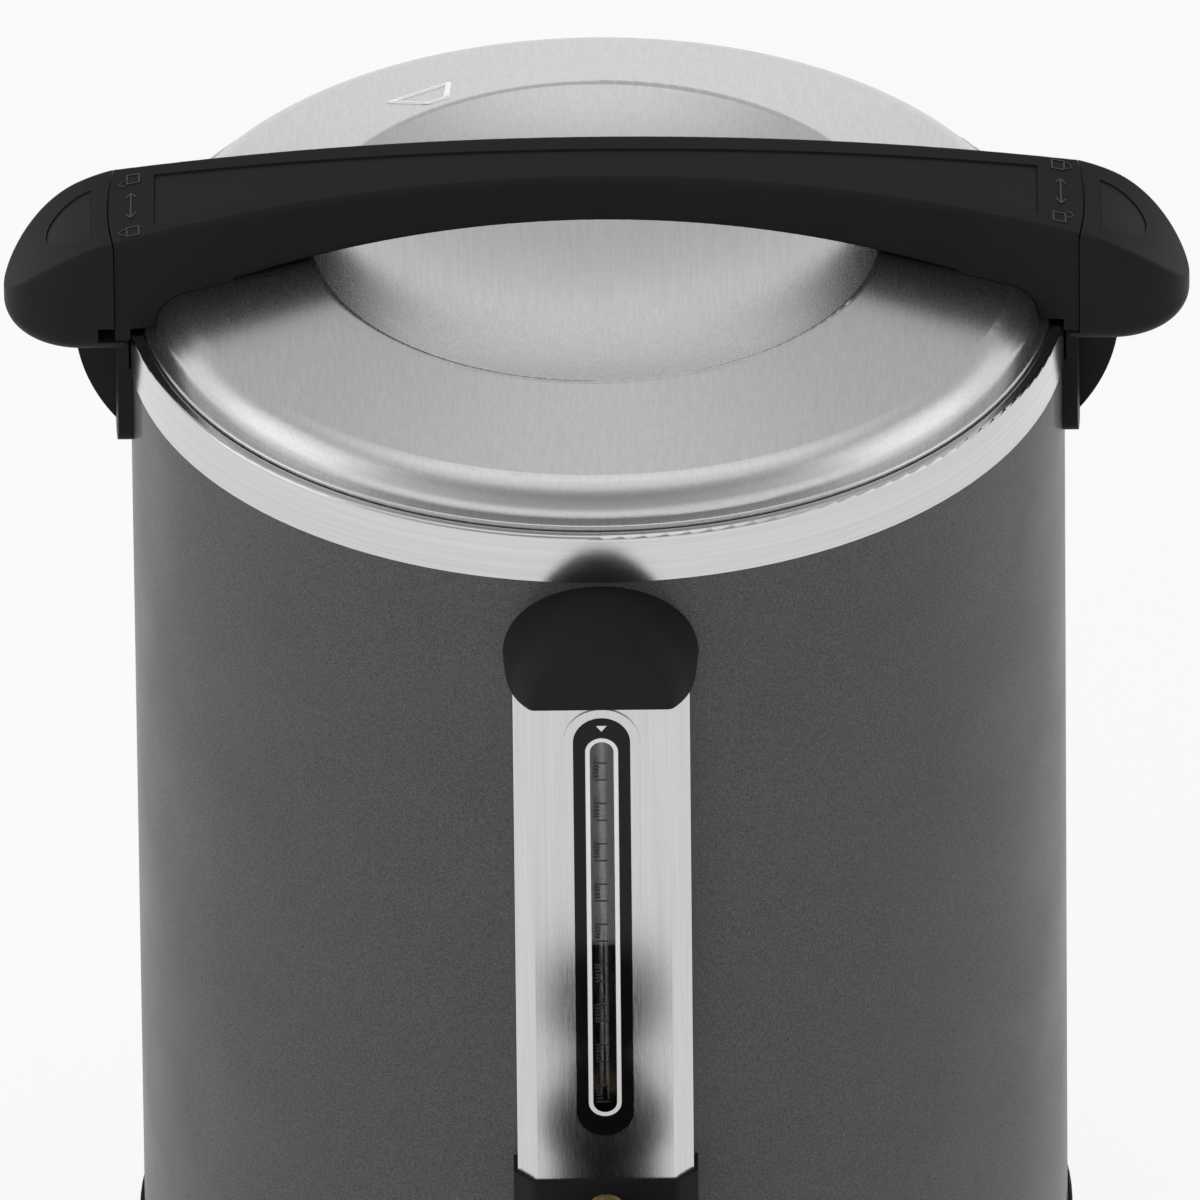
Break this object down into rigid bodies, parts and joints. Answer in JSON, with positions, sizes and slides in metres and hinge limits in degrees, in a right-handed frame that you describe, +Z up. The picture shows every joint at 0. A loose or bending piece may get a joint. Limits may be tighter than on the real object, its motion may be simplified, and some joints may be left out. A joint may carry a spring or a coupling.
{
  "type": "coffee_urn",
  "caption": "Percolating coffee urn with a twist-lock lid under an arched bridge handle, side handles, front level gauge and a lever tap.",
  "frame": {"origin": "on the urn's upright axis, at the plane that its foot ring stands on", "axes": "+Z up along the urn's axis, -Y to the front with the gauge and tap, +X to the right seen from the front"},
  "size_m": [0.3372, 0.3579, 0.4114],
  "materials": {
    "painted_shell": "dark grey metallic paint under clear coat",
    "brushed_steel": "round brushed stainless",
    "channel_steel": "stainless brushed along the channel",
    "tank_steel": "satin drawn stainless",
    "black_plastic": "fine grained black moulding",
    "inlay_plastic": "smoother black insert",
    "gauge_black": "gloss black frame with white outlines",
    "clear_window": "clear",
    "clear_tube": "clear glass",
    "back_strip": "satin dark grey",
    "seal_rubber": "soft black",
    "fixing_steel": "bright plated",
    "valve_brass": "turned",
    "lamp_amber": "clear amber",
    "lamp_green": "clear green",
    "rocker_black": "gloss black",
    "heater_cast": "cast",
    "terminal_plastic": "cream moulding"
  },
  "bodies": {
    "urn": {"outer_shell": "painted_shell", "rim_band": "brushed_steel", "inner_tank": "tank_steel", "side_handle_right": "black_plastic", "side_handle_left": "black_plastic", "side_handle_pads": "inlay_plastic", "side_handle_screws": "fixing_steel", "gauge_cover": "channel_steel", "gauge_bezel": "gauge_black", "gauge_window": "clear_window", "gauge_tube": "clear_tube", "gauge_seals": "seal_rubber", "gauge_back_strip": "back_strip", "gauge_cap": "black_plastic", "tap_body": "black_plastic", "tap_washers": "seal_rubber", "tap_nut": "fixing_steel", "tap_bonnet": "black_plastic", "lever_pin": "fixing_steel", "valve_spring": "fixing_steel", "base_housing": "black_plastic", "bottom_cover": "back_strip", "foot_ring": "seal_rubber", "cover_screws": "fixing_steel", "control_panel": "black_plastic", "switch_housing": "gauge_black", "heating_lamp": "lamp_amber", "ready_lamp": "lamp_green", "cord_gland": "seal_rubber", "heater_plate": "heater_cast", "heating_element": "fixing_steel", "thermostat": "terminal_plastic", "thermal_fuse": "fixing_steel", "terminal_block": "terminal_plastic"},
    "lid": {"lid": "brushed_steel", "lid_handle": "black_plastic", "lid_handle_inlay": "inlay_plastic", "lid_handle_screws": "fixing_steel"},
    "lever": {"tap_lever": "black_plastic"},
    "valve": {"valve_stem": "valve_brass", "valve_seal": "seal_rubber"},
    "rocker": {"power_rocker": "rocker_black"},
    "percolator": {"pump_foot": "tank_steel", "pump_tube": "tank_steel", "basket_stop": "tank_steel", "filter_basket": "tank_steel", "spreader": "tank_steel"}
  },
  "joints": [
    {"name": "lid_twist", "type": "hinge", "parent": "urn", "child": "lid", "pos_m": [0, 0, 0.366], "axis": [0, 0, 1], "range_deg": [0, 40]},
    {"name": "lever_press", "type": "hinge", "parent": "urn", "child": "lever", "pos_m": [0, -0.1895, 0.169], "axis": [1, 0, 0], "range_deg": [0, 25]},
    {"name": "valve_lift", "type": "slide", "parent": "urn", "child": "valve", "axis": [0, 0, 1], "range_m": [0, 0.00588], "stiffness_N_per_m": 300, "springref_m": -0.01, "deforming": ["valve_spring"]},
    {"name": "rocker_switch", "type": "hinge", "parent": "urn", "child": "rocker", "pos_m": [0, -0.1372, 0.034], "axis": [-1, 0, 0], "range_deg": [0, 18]},
    {"name": "percolator_lift", "type": "slide", "parent": "urn", "child": "percolator", "axis": [0, 0, 1], "range_m": [0, 0.02]}
  ],
  "couplings": [
    {"joint": "lever_press", "follows": "valve_lift", "rad_per_m": 74.07}
  ]
}
